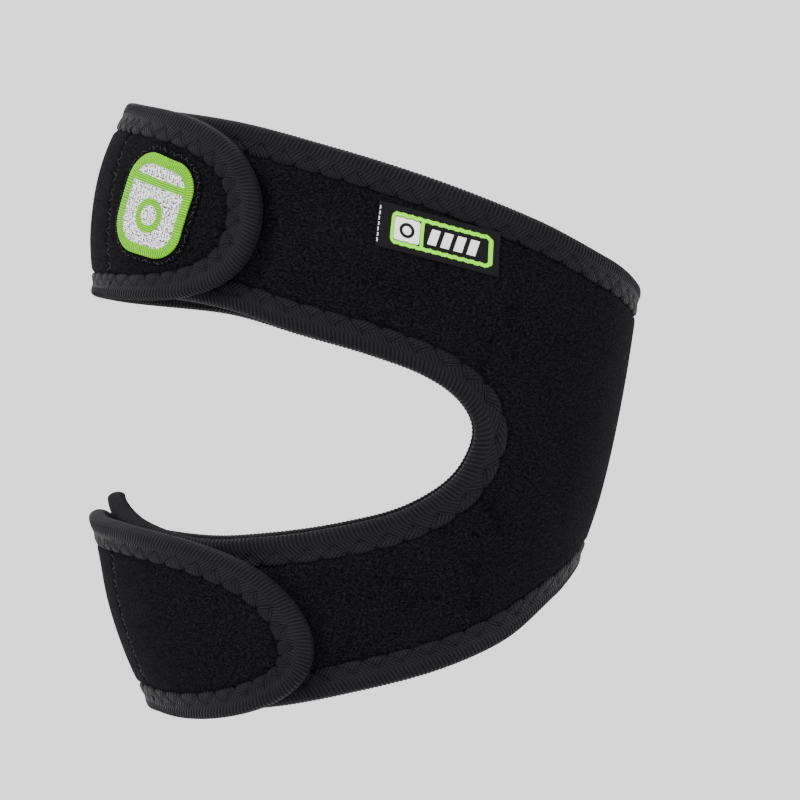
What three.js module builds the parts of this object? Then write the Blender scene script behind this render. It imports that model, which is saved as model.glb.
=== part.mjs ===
// Patella strap: a neoprene support that loops the leg above and below the kneecap.
// Millimetres, +Z up the leg. The kneecap faces -X, the side with the label faces -Y,
// and the origin is the middle of the knee, inside the hollow.
import * as THREE from "three";

// The knee that the strap is shaped on
const kneeDepth = 124; // front to back, inside the strap
const kneeBreadth = 104; // side to side, inside the strap
const limbLength = 160; // length of leg that the section table covers
const sectionPower = 2.2; // 2 is an ellipse, and more is squarer

// The cut of the main panel, to the finished edge of its binding
const windowAbove = 33; // upper edge of the kneecap window over the middle of the knee
const windowBelow = 27; // its lower edge, under the middle of the knee
const windowReach = 122; // degrees from the front to the window's rounded end
const upperStrapWidth = 48.5;
const lowerStrapWidth = 43;
const topFall = 43.5; // how far the top edge comes down at the back of the knee
const bottomRise = 36; // how far the bottom edge goes up there

// The closure: the far arms pass the front and end in two tabs on the near arms
const armEndTurn = 13; // degrees that the near arms pass the front
const seamTurn = 20; // degrees past the front where the tabs are sewn to the far arms
const upperTabReach = 41.2; // degrees from that seam to the upper tab's end
const lowerTabReach = 59.6;
const upperTabDrop = 0.8; // how much lower the tabs' outer edges lie than the arms under them
const lowerTabDrop = 1;
const upperWindowDrop = 2.4; // and their edges on the window
const lowerWindowDrop = 6.4;
const lowerDropLead = 24; // degrees before the front where the lower one starts to come down
const upperTabSlant = -2.6; // how far a tab's middle line comes down along it
const lowerTabSlant = -7;
const lowerTabCurl = 0.5; // how much of that comes early
const upperTabPower = 3.05; // squareness of a tab's round end
const lowerTabPower = 2.5;
const nearEndFall = 7; // how far the lower near arm's edge on the window comes down at its end
const nearEndLead = 2; // degrees before the front where it starts to
const rampTurn = 30; // degrees over which a far arm climbs onto a near one
const rampLead = 7; // degrees between the climb and the near arm's end

// Cloth
const panelThickness = 4;
const pressedThickness = 2.4; // where the binding and its stitches squeeze the foam
const hookThickness = 0.7;
const hookRoom = 0.5; // gap on each side of a hook patch
const fit = 0.3; // gap between pieces that lie on each other
const bindingWidth = 7.8;
const bindingWall = 0.9;
const seamMargin = 1; // pressed cloth past the binding
const foamRise = 2.5; // width over which the foam comes back to its full thickness
const hookStart = 0.1; // a hook patch's ends, as shares of its tab's reach
const hookEnd = 0.74;

// The label and the badge
const labelLength = 31.5;
const labelHeight = 12;
const labelSlope = 18; // degrees, downwards to the back
const labelThickness = 0.5;
const labelTurn = 105.5; // degrees from the front to its middle
const labelClearance = 1.5; // from the top binding at its middle
const badgeWidth = 20.5;
const badgeHeight = 22.5;
const badgeThickness = 0.9;
const badgeCorner = 7;
const backingBorder = 1.7;
const backingThickness = 0.6;
const badgeTurn = 15.5; // degrees from the tab's seam to the badge's middle
const badgeRise = 1; // over the middle line of the tab
const badgeTilt = -14; // degrees

// Sections of the knee. Levels are shares of limbLength from the middle of the knee;
// front and back are shares of kneeDepth, and half is a share of kneeBreadth.
const kneeSections = [
  { level: -0.54, front: -0.29, back: 0.45, half: 0.48 },
  { level: -0.43, front: -0.335, back: 0.43, half: 0.475 },
  { level: -0.34, front: -0.39, back: 0.41, half: 0.47 },
  { level: -0.26, front: -0.425, back: 0.413, half: 0.472 },
  { level: -0.18, front: -0.445, back: 0.452, half: 0.477 },
  { level: -0.1, front: -0.468, back: 0.487, half: 0.485 },
  { level: 0.05, front: -0.49, back: 0.531, half: 0.5 },
  { level: 0.22, front: -0.455, back: 0.566, half: 0.514 },
  { level: 0.32, front: -0.46, back: 0.583, half: 0.52 },
  { level: 0.42, front: -0.437, back: 0.602, half: 0.525 },
  { level: 0.53, front: -0.366, back: 0.621, half: 0.53 },
];

// How the top and bottom edges draw in towards the back. Turns are degrees from the front.
const topLine = [
  { turn: -45, share: 0.07 },
  { turn: 0, share: 0.01 },
  { turn: 45, share: 0.07 },
  { turn: 75, share: 0.223 },
  { turn: 105, share: 0.42 },
  { turn: 130, share: 0.63 },
  { turn: 152, share: 0.84 },
  { turn: 180, share: 1 },
  { turn: 208, share: 0.84 },
];
const bottomLine = [
  { turn: -45, share: 0.01 },
  { turn: 0, share: 0.1 },
  { turn: 30, share: 0.02 },
  { turn: 60, share: 0.02 },
  { turn: 90, share: 0.14 },
  { turn: 115, share: 0.288 },
  { turn: 137, share: 0.487 },
  { turn: 160, share: 0.79 },
  { turn: 180, share: 1 },
  { turn: 200, share: 0.79 },
];

// The kneecap window's edge, from the front above the kneecap, round the window's end and
// back below it. reach is a share of windowReach, and level one of windowAbove or windowBelow.
const windowLine = [
  { reach: -0.4, level: 1.04 },
  { reach: -0.2, level: 1.08 },
  { reach: 0, level: 1.1 },
  { reach: 0.2, level: 1.06 },
  { reach: 0.4, level: 0.96 },
  { reach: 0.57, level: 0.77 },
  { reach: 0.74, level: 0.606 },
  { reach: 0.875, level: 0.44 },
  { reach: 0.965, level: 0.23 },
  { reach: 1, level: -0.03 },
  { reach: 0.96, level: -0.42 },
  { reach: 0.855, level: -0.71 },
  { reach: 0.71, level: -0.87 },
  { reach: 0.54, level: -0.97 },
  { reach: 0.375, level: -0.985 },
  { reach: 0.2, level: -0.82 },
  { reach: 0, level: -0.55 },
  { reach: -0.2, level: -0.55 },
  { reach: -0.4, level: -0.7 },
];

// Fineness of the faceted solids
const armColumns = 16;
const fanColumns = 4;
const backColumns = 7;
const backRows = 5;
const tabColumns = 13;
const foamRows = 2;
const patchColumns = 9;
const rimPoints = 28;

const toRadians = THREE.MathUtils.degToRad;
const ease = (share) => THREE.MathUtils.smoothstep(share, 0, 1);
const mix = THREE.MathUtils.lerp;

// Smooth curve through one column of a table, read at a place along another column.
function readTable(rows, along, column, at) {
  const last = rows.length - 1;
  const slope = (i) =>
    (rows[i + 1][column] - rows[i][column]) / (rows[i + 1][along] - rows[i][along]);
  const tangent = (i) => {
    if (i === 0) return slope(0);
    if (i === last) return slope(last - 1);
    return (slope(i - 1) + slope(i)) / 2;
  };
  let i = 0;
  while (i < last - 1 && at > rows[i + 1][along]) i += 1;
  const span = rows[i + 1][along] - rows[i][along];
  const t = THREE.MathUtils.clamp((at - rows[i][along]) / span, 0, 1);
  const rise = rows[i + 1][column] - rows[i][column];
  const start = tangent(i) * span;
  const end = tangent(i + 1) * span;
  return rows[i][column] + t * (start + t * (3 * rise - 2 * start - end + t * (start + end - 2 * rise)));
}

// A place is { turn, level }: degrees round the knee from its front, and height in mm.
// Near and far halves use the same places; the far half is the mirror image in Y.
function kneePoint({ turn, level }) {
  const share = level / limbLength;
  const front = kneeDepth * readTable(kneeSections, "level", "front", share);
  const back = kneeDepth * readTable(kneeSections, "level", "back", share);
  const half = kneeBreadth * readTable(kneeSections, "level", "half", share);
  const cos = Math.cos(toRadians(turn));
  const sin = Math.sin(toRadians(turn));
  const reach =
    (Math.abs(cos / ((back - front) / 2)) ** sectionPower + Math.abs(sin / half) ** sectionPower) **
    (-1 / sectionPower);
  return new THREE.Vector3((front + back) / 2 - reach * cos, -reach * sin, level);
}

// Directions at a place: round the knee per degree, up the leg per mm, and outwards.
function kneeFrame({ turn, level }) {
  const step = 0.5;
  const around = kneePoint({ turn: turn + step, level }).sub(kneePoint({ turn: turn - step, level }));
  const upward = kneePoint({ turn, level: level + step }).sub(kneePoint({ turn, level: level - step }));
  around.divideScalar(2 * step);
  upward.divideScalar(2 * step);
  return { around, upward, outward: around.clone().cross(upward).normalize() };
}

// The point that lies a height over the knee, on the near side (1) or the far side (-1).
function liftedPoint(place, height, side) {
  const point = kneePoint(place).addScaledVector(kneeFrame(place).outward, height);
  point.y *= side;
  return point;
}

// The place that a tangent vector in mm leads to.
function movedPlace(place, vector) {
  const { around, upward } = kneeFrame(place);
  const aa = around.dot(around);
  const au = around.dot(upward);
  const uu = upward.dot(upward);
  const a = around.dot(vector);
  const u = upward.dot(vector);
  const scale = aa * uu - au * au;
  return { turn: place.turn + (a * uu - u * au) / scale, level: place.level + (u * aa - a * au) / scale };
}

const placeBetween = (a, b, share) => ({ turn: mix(a.turn, b.turn, share), level: mix(a.level, b.level, share) });

// An edge is a line of places with cloth on one side. hand is 1 where the cloth lies on the
// left of the way along it, and -1 on the right. square(s) is 0 where the distance from the
// edge is taken straight up or down the leg, and 1 where it is taken square to the edge.
function insetPlace(edge, s, distance) {
  const place = edge.place(s);
  const { upward, outward } = kneeFrame(place);
  const step = edge.step;
  const way = kneePoint(edge.place(s + step)).sub(kneePoint(edge.place(s - step)));
  const inward = outward.clone().cross(way).multiplyScalar(edge.hand).normalize();
  const straight = upward.clone().normalize().multiplyScalar(Math.sign(inward.dot(upward)) || 1);
  const taken = straight.lerp(inward, edge.square(s)).normalize();
  return movedPlace(place, taken.multiplyScalar(distance / taken.dot(inward)));
}

// The far arms lie a little lower round the front, where they become the tabs.
const frontShare = (turn) => ease((70 - turn) / 50);

function topEdge(drop) {
  const front = windowAbove + upperStrapWidth;
  const level = (turn) => front - topFall * readTable(topLine, "turn", "share", turn) - drop * frontShare(turn);
  return { hand: -1, step: 0.5, square: () => 0, place: (turn) => ({ turn, level: level(turn) }) };
}

function bottomEdge(drop) {
  const front = -windowBelow - lowerStrapWidth;
  const level = (turn) =>
    front + bottomRise * readTable(bottomLine, "turn", "share", turn) - drop * frontShare(turn);
  return { hand: 1, step: 0.5, square: () => 0, place: (turn) => ({ turn, level: level(turn) }) };
}

const fanTurn = windowReach * 0.8; // where the columns start to fan round the window's end
const squareTurn = windowReach * 0.5; // where they start to lean

function windowEdge(upperDrop, lowerDrop, lowerEndFall) {
  const scale = (row) => (row.level > 0 ? windowAbove : windowBelow);
  const curve = new THREE.SplineCurve(
    windowLine.map((row) => new THREE.Vector2(row.reach * windowReach, row.level * scale(row))),
  );
  const place = (s) => {
    const { x: turn, y: level } = curve.getPoint(s);
    const seamShare = ease((lowerDropLead - turn) / (lowerDropLead + seamTurn));
    const endShare = ease((nearEndLead - turn) / (nearEndLead + armEndTurn));
    const lowerFall = lowerDrop * seamShare + lowerEndFall * endShare;
    return { turn, level: level - (level > 0 ? upperDrop * frontShare(turn) : lowerFall) };
  };
  const square = (s) => ease((place(s).turn - squareTurn) / (fanTurn - squareTurn));
  return { hand: 1, step: 0.002, square, place };
}

// Where the window's edge passes a turn, above (from 0) or below (from 1) its rounded end.
function windowAt(edge, turn, from) {
  const tip = windowLine.findIndex((row) => row.reach === 1) / (windowLine.length - 1);
  let outer = from;
  let inner = tip;
  for (let i = 0; i < 30; i += 1) {
    const middle = (outer + inner) / 2;
    if (edge.place(middle).turn < turn) outer = middle;
    else inner = middle;
  }
  return (outer + inner) / 2;
}

// Insets of the panel's rows from a finished edge
const panelInset = bindingWall + fit;
const pressedInset = bindingWidth + seamMargin;
const foamInset = pressedInset + foamRise;

const backTurn = mix(windowReach, 180, 0.35); // where the fan of columns ends
const tabLift = panelThickness + hookThickness + 2 * hookRoom;

// How far the far arms and tabs are lifted off the knee at a turn.
const farLift = (turn) => tabLift * ease((armEndTurn + rampLead + rampTurn - turn) / rampTurn);

const nearHalf = {
  side: 1,
  endTurn: -armEndTurn,
  lift: () => 0,
  top: topEdge(0),
  bottom: bottomEdge(0),
  window: windowEdge(0, 0, nearEndFall),
};
const farHalf = {
  side: -1,
  endTurn: -seamTurn,
  lift: farLift,
  top: topEdge(upperTabDrop),
  bottom: bottomEdge(lowerTabDrop),
  window: windowEdge(upperWindowDrop, lowerWindowDrop, 0),
};

const steps = (from, to, count) => Array.from({ length: count + 1 }, (_, i) => mix(from, to, i / count));

// Stations along a half's edges, which its panel and its bindings share.
function halfStations(half) {
  const armTurns = steps(half.endTurn, fanTurn, armColumns);
  const fanTurns = steps(fanTurn, backTurn, fanColumns);
  const backTurns = steps(backTurn, 180, backColumns);
  const upperArm = armTurns.map((turn) => windowAt(half.window, turn, 0));
  const lowerArm = armTurns.map((turn) => windowAt(half.window, turn, 1)).reverse();
  const fan = steps(upperArm.at(-1), lowerArm[0], 2 * fanColumns + backRows);
  return {
    armTurns,
    fanTurns,
    backTurns,
    turns: [...armTurns, ...fanTurns.slice(1), ...backTurns.slice(1)],
    window: [...upperArm, ...fan.slice(1, -1), ...lowerArm],
  };
}

// Quads between neighbouring rows of places. A spot is a place with its side and squeeze.
function quadsBetween(rows) {
  const quads = [];
  for (let i = 0; i + 1 < rows.length; i += 1)
    for (let j = 0; j + 1 < rows[i].length; j += 1)
      quads.push([rows[i][j], rows[i + 1][j], rows[i + 1][j + 1], rows[i][j + 1]]);
  return quads;
}

const pressed = (place) => ({ ...place, squeeze: (panelThickness - pressedThickness) / 2 });
const full = (place) => ({ ...place, squeeze: 0 });

// Places across the pressed edge: its rim, the end of the squeeze, and the full foam.
function edgePlaces(edge, s) {
  return [
    pressed(insetPlace(edge, s, panelInset)),
    pressed(insetPlace(edge, s, pressedInset)),
    full(insetPlace(edge, s, foamInset)),
  ];
}

// The faces of half a panel: strips along the top and bottom edges, a ring round the window,
// and a block behind it that reaches the back of the knee.
function halfFaces(half) {
  const { armTurns, fanTurns, backTurns, turns, window } = halfStations(half);
  const topStrip = turns.map((turn) => edgePlaces(half.top, turn));
  const bottomStrip = turns.map((turn) => edgePlaces(half.bottom, turn).reverse());
  const foamLine = (strip, i) => strip[i].find((place) => place.squeeze === 0);
  const fanStart = armTurns.length - 1;
  const fanEnd = fanStart + fanTurns.length - 1;
  const backLine = steps(0, 1, backRows).map((share) =>
    full(placeBetween(foamLine(topStrip, fanEnd), foamLine(bottomStrip, fanEnd), share)),
  );
  const outerLine = [
    ...turns.slice(0, fanEnd + 1).map((_, i) => foamLine(topStrip, i)),
    ...backLine.slice(1, -1),
    ...turns.slice(0, fanEnd + 1).map((_, i) => foamLine(bottomStrip, i)).reverse(),
  ];
  const ring = window.map((s, i) => {
    const [rim, press, foam] = edgePlaces(half.window, s);
    const middles = steps(0, 1, foamRows + 1).slice(1, -1);
    return [rim, press, foam, ...middles.map((share) => full(placeBetween(foam, outerLine[i], share))), outerLine[i]];
  });
  const block = backTurns.map((turn, i) => {
    const top = foamLine(topStrip, fanEnd + i);
    const bottom = foamLine(bottomStrip, fanEnd + i);
    return i === 0 ? backLine : steps(0, 1, backRows).map((share) => full(placeBetween(top, bottom, share)));
  });
  const faces = [topStrip, ring.map((column) => [...column].reverse()), block, bottomStrip].flatMap(quadsBetween);
  return faces.map((face) => face.map((place) => ({ ...place, half })));
}

// Turns a list of triangles over shared points into a geometry whose faces point outwards.
function closedGeometry(points, triangles) {
  let volume = 0;
  for (const [a, b, c] of triangles) volume += points[a].dot(points[b].clone().cross(points[c]));
  const index = triangles.flatMap(([a, b, c]) => (volume < 0 ? [a, c, b] : [a, b, c]));
  const geometry = new THREE.BufferGeometry().setFromPoints(points);
  geometry.setIndex(index);
  geometry.computeVertexNormals();
  return geometry;
}

// A quad as two triangles, split along its shorter diagonal
function splitQuad(points, [a, b, c, d]) {
  const across = points[a].distanceToSquared(points[c]) - points[b].distanceToSquared(points[d]);
  return across < -1e-9 ? [[a, b, c], [a, c, d]] : [[a, b, d], [b, c, d]];
}

// A closed sheet from faces of spots: an outer skin, an inner skin and walls round the rim.
// heights(spot) gives the inner and outer height of the cloth over the knee.
function sheetGeometry(faces, heights) {
  const points = [];
  const known = new Map();
  const numberOf = (spot) => {
    const atBack = Math.abs(spot.turn - 180) < 1e-6;
    const sideName = atBack ? "back" : spot.half.side;
    const key = `${sideName} ${spot.turn.toFixed(5)} ${spot.level.toFixed(5)}`;
    if (!known.has(key)) {
      known.set(key, points.length);
      const [inner, outer] = heights(spot);
      points.push(liftedPoint(spot, outer, spot.half.side), liftedPoint(spot, inner, spot.half.side));
    }
    return known.get(key);
  };
  const triangles = [];
  const rim = new Map();
  for (const face of faces) {
    const ring = face.map(numberOf);
    if (face[0].half.side < 0) ring.reverse();
    const outer = ring.length === 4 ? splitQuad(points, ring) : [ring];
    for (const [a, b, c] of outer) triangles.push([a, b, c], [a + 1, c + 1, b + 1]);
    ring.forEach((from, i) => {
      const to = ring[(i + 1) % ring.length];
      if (!rim.delete(`${to} ${from}`)) rim.set(`${from} ${to}`, [from, to]);
    });
  }
  for (const [from, to] of rim.values())
    triangles.push([to, from, from + 1], [to, from + 1, to + 1]);
  return closedGeometry(points, triangles);
}

// Inner and outer height of the panel's cloth at a spot.
const panelHeights = (spot) => {
  const lift = spot.half.lift(spot.turn);
  return [lift + spot.squeeze, lift + panelThickness - spot.squeeze];
};

// The binding's section, a channel that holds the pressed edge: distance from the finished
// edge, and height from the middle of the cloth.
function channelSection() {
  const hold = pressedThickness / 2 + fit;
  const proud = hold + bindingWall;
  const nose = proud * 0.45;
  const wrap = bindingWall * 1.15;
  return [
    { inset: bindingWidth, rise: proud },
    { inset: wrap, rise: proud },
    { inset: 0, rise: nose },
    { inset: 0, rise: -nose },
    { inset: wrap, rise: -proud },
    { inset: bindingWidth, rise: -proud },
    { inset: bindingWidth, rise: -hold },
    { inset: bindingWall, rise: -hold },
    { inset: bindingWall, rise: hold },
    { inset: bindingWidth, rise: hold },
  ];
}

// A binding swept along stations of one or more edges. A station is { half, edge, s }.
function bindingGeometry(stations) {
  const section = channelSection();
  const size = section.length;
  const points = stations.flatMap(({ half, edge, s }) => {
    const middle = half.lift(edge.place(s).turn) + panelThickness / 2;
    return section.map(({ inset, rise }) => liftedPoint(insetPlace(edge, s, inset), middle + rise, half.side));
  });
  const triangles = [];
  for (let i = 0; i + 1 < stations.length; i += 1)
    for (let j = 0; j < size; j += 1) {
      const a = i * size + j;
      const b = i * size + ((j + 1) % size);
      triangles.push(...splitQuad(points, [a, b, b + size, a + size]));
    }
  const outline = section.map(({ inset, rise }) => new THREE.Vector2(inset, rise));
  const far = (stations.length - 1) * size;
  for (const [a, b, c] of THREE.ShapeUtils.triangulateShape(outline, [])) {
    triangles.push([c, b, a], [far + a, far + b, far + c]);
  }
  return closedGeometry(points, orientCaps(triangles, size, stations.length));
}

// Cap triangles come last; they are turned to run against the neighbouring wall triangles.
function orientCaps(triangles, size, rings) {
  const walls = triangles.slice(0, (rings - 1) * size * 2);
  const used = new Set(walls.flatMap(([a, b, c]) => [`${a} ${b}`, `${b} ${c}`, `${c} ${a}`]));
  const caps = triangles.slice(walls.length);
  const clashes = caps.some(([a, b, c]) => [`${a} ${b}`, `${b} ${c}`, `${c} ${a}`].some((edge) => used.has(edge)));
  return [...walls, ...(clashes ? caps.map(([a, b, c]) => [a, c, b]) : caps)];
}

const alongEdge = (half, edge, places) => places.map((s) => ({ half, edge, s }));

// A binding along the top or the bottom edge, from the near arm's end round the back.
function rimBinding(name) {
  const near = alongEdge(nearHalf, nearHalf[name], halfStations(nearHalf).turns);
  const far = alongEdge(farHalf, farHalf[name], halfStations(farHalf).turns);
  return bindingGeometry([...near, ...far.slice(0, -1).reverse()]);
}

const windowBinding = (half) => bindingGeometry(alongEdge(half, half.window, halfStations(half).window));

// A tab starts where its far arm ends, and its round end is a superellipse. Its share runs
// from 0 at the seam to 1 at the end.
function makeTab(upper, lower, reach, slant, endPower, curl, armUnder) {
  const start = -seamTurn - (fit / (0.35 * kneeDepth)) * THREE.MathUtils.RAD2DEG;
  const middleLevel = (upper + lower) / 2;
  const halfWidth = (upper - lower) / 2;
  const widthShare = (share) => Math.sqrt(Math.max(0, 1 - Math.max(0, share) ** endPower));
  const middle = (share) => ({
    turn: start - reach * share,
    level: middleLevel + slant * share * (1 + curl * (1 - share)),
  });
  // s runs from 0 at the seam's top, by 1 at the round end, to 2 at the seam's bottom.
  const shareAt = (s) => Math.sin((s * Math.PI) / 2);
  const place = (s) => {
    const { turn, level } = middle(shareAt(s));
    return { turn, level: level + Math.sign(1 - s) * halfWidth * widthShare(shareAt(s)) };
  };
  const square = (s) => ease((1 - Math.abs(1 - s)) / 0.3);
  const edge = { hand: 1, step: 0.01, square, place };
  return { halfWidth, widthShare, middle, shareAt, armUnder, half: farHalf, edge };
}

const upperArmLevels = (half, turn) => [
  half.top.place(turn).level,
  half.window.place(windowAt(half.window, turn, 0)).level,
];
const lowerArmLevels = (half, turn) => [
  half.window.place(windowAt(half.window, turn, 1)).level,
  half.bottom.place(turn).level,
];
const upperTab = makeTab(
  ...upperArmLevels(farHalf, -seamTurn),
  upperTabReach,
  upperTabSlant,
  upperTabPower,
  0,
  (turn) => upperArmLevels(nearHalf, turn),
);
const lowerTab = makeTab(
  ...lowerArmLevels(farHalf, -seamTurn),
  lowerTabReach,
  lowerTabSlant,
  lowerTabPower,
  lowerTabCurl,
  (turn) => lowerArmLevels(nearHalf, turn),
);

// Two fans of columns run from the tab's outline to its middle line and share that line.
function tabFaces(tab) {
  const spineEnd = 0.7;
  const column = (s) => {
    const rim = insetPlace(tab.edge, s, panelInset);
    const press = insetPlace(tab.edge, s, pressedInset);
    const spine = tab.middle(tab.shareAt(s) * spineEnd);
    const foam = placeBetween(press, spine, foamRise / kneePoint(press).distanceTo(kneePoint(spine)));
    return [pressed(rim), pressed(press), full(foam), full(spine)];
  };
  const above = steps(0, 1, tabColumns).map(column);
  const below = steps(2, 1, tabColumns).map((s) => column(s).reverse());
  const faces = [...quadsBetween(below), ...quadsBetween(above)];
  return faces.map((face) => face.map((place) => ({ ...place, half: farHalf })));
}

const tabBinding = (tab) => bindingGeometry(alongEdge(tab.half, tab.edge, steps(0, 2, 2 * tabColumns)));

// The patch of hooks under a tab, clear of the bindings above and below it.
function hookPatch(tab) {
  const rows = steps(hookStart, hookEnd, patchColumns).map((share) => {
    const { turn, level } = tab.middle(share);
    const half = tab.halfWidth * tab.widthShare(share) - foamInset;
    const [high, low] = tab.armUnder(-turn);
    const top = Math.min(level + half, high - foamInset);
    const bottom = Math.max(level - half, low + foamInset);
    return steps(top, bottom, 3).map((at) => ({ turn, level: at, half: farHalf }));
  });
  const under = panelThickness + hookRoom;
  return sheetGeometry(quadsBetween(rows), () => [under, under + hookThickness]);
}

// A thin flat piece laid on the cloth round a middle place. The outline is a list of points
// in mm, x towards the back of the near side and y up, and it is filled ring by ring.
function laidPiece(middle, half, outline, inner, thickness, rings) {
  const { around, upward } = kneeFrame(middle);
  const level = upward.clone().normalize();
  const aside = around.clone().normalize();
  const placed = ({ x, y }) => movedPlace(middle, aside.clone().multiplyScalar(x).addScaledVector(level, y));
  const ringAt = (share) => outline.map((point) => ({ ...placed(point.clone().multiplyScalar(share)), half }));
  const rows = steps(1 / rings, 1, rings - 1).map((share) => {
    const ring = ringAt(share);
    return [...ring, ring[0]];
  });
  const core = rows[0].slice(0, -1);
  const centre = { ...middle, half };
  const fan = core.map((spot, i) => [centre, spot, core[(i + 1) % core.length]]);
  return sheetGeometry([...fan, ...quadsBetween(rows)], () => [inner, inner + thickness]);
}

// Points round a rectangle with rounded corners, turned about its middle.
function roundedOutline(width, height, corner, tilt) {
  const shape = new THREE.Shape();
  const x = width / 2;
  const y = height / 2;
  const r = Math.min(corner, x, y);
  shape.moveTo(x, 0).lineTo(x, y - r).absarc(x - r, y - r, r, 0, Math.PI / 2);
  shape.lineTo(r - x, y).absarc(r - x, y - r, r, Math.PI / 2, Math.PI);
  shape.lineTo(-x, r - y).absarc(r - x, r - y, r, Math.PI, Math.PI * 1.5);
  shape.lineTo(x - r, -y).absarc(x - r, r - y, r, Math.PI * 1.5, Math.PI * 2);
  shape.lineTo(x, 0);
  const turned = toRadians(tilt);
  return shape
    .getSpacedPoints(rimPoints)
    .slice(0, -1)
    .map((point) => point.rotateAround(new THREE.Vector2(), turned));
}

// The badge lies on the upper tab. Its half is mirrored, so its outline is mirrored too.
const tabMiddle = upperTab.middle(badgeTurn / upperTabReach);
const badgeMiddle = { turn: tabMiddle.turn, level: tabMiddle.level + badgeRise };
const badgeOutline = (border) =>
  roundedOutline(badgeWidth + 2 * border, badgeHeight + 2 * border, badgeCorner + border, badgeTilt).map(
    (point) => new THREE.Vector2(-point.x, point.y),
  );
const tabTop = tabLift + panelThickness;
const backingInner = tabTop + fit;
const badgeInner = backingInner + backingThickness + fit;

// The label lies under the top binding of the near side, pulled to its slope with upright ends.
function labelGeometry() {
  const middle = insetPlace(nearHalf.top, labelTurn, bindingWidth + labelClearance + labelHeight / 2);
  const fall = Math.tan(toRadians(labelSlope));
  const outline = roundedOutline(labelLength, labelHeight, 0.4, 0).map(
    ({ x, y }) => new THREE.Vector2(x, y - x * fall),
  );
  return laidPiece(middle, nearHalf, outline, panelThickness + fit, labelThickness, 3);
}

const cloth = (colour, roughness) => new THREE.MeshStandardMaterial({ color: colour, roughness, metalness: 0 });
const loopCloth = cloth(0x19181c, 0.95);
const bindingTape = cloth(0x2a292e, 0.85);
const hookTape = cloth(0x1a1a1c, 0.7);
const labelWeave = cloth(0x2c2b30, 0.6);
const embroidery = cloth(0x8fdc1e, 0.6);

function named(name, geometry, material) {
  const mesh = new THREE.Mesh(geometry, material);
  mesh.name = name;
  return mesh;
}

const strap = new THREE.Group();
strap.add(
  named("main_panel", sheetGeometry([...halfFaces(nearHalf), ...halfFaces(farHalf)], panelHeights), loopCloth),
  named("upper_tab", sheetGeometry(tabFaces(upperTab), panelHeights), loopCloth),
  named("lower_tab", sheetGeometry(tabFaces(lowerTab), panelHeights), loopCloth),
  named("top_binding", rimBinding("top"), bindingTape),
  named("bottom_binding", rimBinding("bottom"), bindingTape),
  named("near_window_binding", windowBinding(nearHalf), bindingTape),
  named("far_window_binding", windowBinding(farHalf), bindingTape),
  named("upper_tab_binding", tabBinding(upperTab), bindingTape),
  named("lower_tab_binding", tabBinding(lowerTab), bindingTape),
  named("upper_hook_patch", hookPatch(upperTab), hookTape),
  named("lower_hook_patch", hookPatch(lowerTab), hookTape),
  named("side_label", labelGeometry(), labelWeave),
  named(
    "badge_backing",
    laidPiece(badgeMiddle, farHalf, badgeOutline(backingBorder), backingInner, backingThickness, 3),
    loopCloth,
  ),
  named("badge", laidPiece(badgeMiddle, farHalf, badgeOutline(0), badgeInner, badgeThickness, 3), embroidery),
);

export default strap;
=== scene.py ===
import math
import bpy
import numpy as np
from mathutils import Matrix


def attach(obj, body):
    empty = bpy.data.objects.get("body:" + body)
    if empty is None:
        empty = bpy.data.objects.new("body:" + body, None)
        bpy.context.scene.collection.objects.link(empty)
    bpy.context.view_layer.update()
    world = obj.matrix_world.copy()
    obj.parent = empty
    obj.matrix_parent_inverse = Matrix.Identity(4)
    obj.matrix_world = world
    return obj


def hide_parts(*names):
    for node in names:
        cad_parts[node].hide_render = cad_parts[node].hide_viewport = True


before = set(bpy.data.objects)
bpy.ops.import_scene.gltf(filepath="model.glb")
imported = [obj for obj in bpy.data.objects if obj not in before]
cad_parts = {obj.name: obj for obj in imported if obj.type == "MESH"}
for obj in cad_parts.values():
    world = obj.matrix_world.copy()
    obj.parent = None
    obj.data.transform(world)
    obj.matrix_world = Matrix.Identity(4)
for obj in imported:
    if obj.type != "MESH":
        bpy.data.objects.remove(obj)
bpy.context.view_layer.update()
bpy.ops.object.select_all(action="DESELECT")

# Everything is worked out in millimetres and degrees, and turned into metres when a mesh is made
millimetre = 0.001
perDegree = 1.06  # about how far one degree of turn goes round the knee


def metres(*values):
    return tuple(float(value) * millimetre for value in values)



# Camera, light and floor

view = {
    "distance": 3000,
    "imageWidth": 800,  # pixels
    "pixel": 0.257,  # millimetres of the strap in one pixel
    "middle": (12.85, 0, 8.2),  # the place that the middle of the image looks at
    "sensor": 36,
    "farthest": 20000,
}

studio = {
    "brightness": 1.7,
    # place in metres, size in metres, watts
    "lights": {
        "keyLight": ((-1.1, -1.2, 1.3), 0.5, 31),
        "rimLight": ((1.2, 0.4, 1.4), 0.5, 7),
        "fillLight": ((0.3, -1.7, -1.4), 1.2, 115),
    },
    "floorDepth": 140,  # below the middle of the knee
    "floorRadius": 560,
    "floorThickness": 4,
    "floorSides": 128,
    "floorColour": (0.86, 0.86, 0.86, 1),
    "floorRoughness": 0.7,
}


def addCamera():
    x, y, z, distance, farthest = metres(*view["middle"], view["distance"], view["farthest"])
    bpy.ops.object.camera_add(location=(x, y - distance, z), rotation=(math.pi / 2, 0, 0))
    camera = bpy.context.object
    camera.name = "viewCamera"
    camera.data.sensor_width = view["sensor"]
    camera.data.lens = view["sensor"] * view["distance"] / (view["imageWidth"] * view["pixel"])
    camera.data.clip_end = farthest
    bpy.context.scene.camera = camera


def addLight(name, place, size, power):
    bpy.ops.object.light_add(type="AREA", location=place)
    light = bpy.context.object
    light.name = name
    light.data.size = size
    light.data.energy = power
    light.rotation_euler = (-light.location).to_track_quat("-Z", "Y").to_euler()


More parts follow.
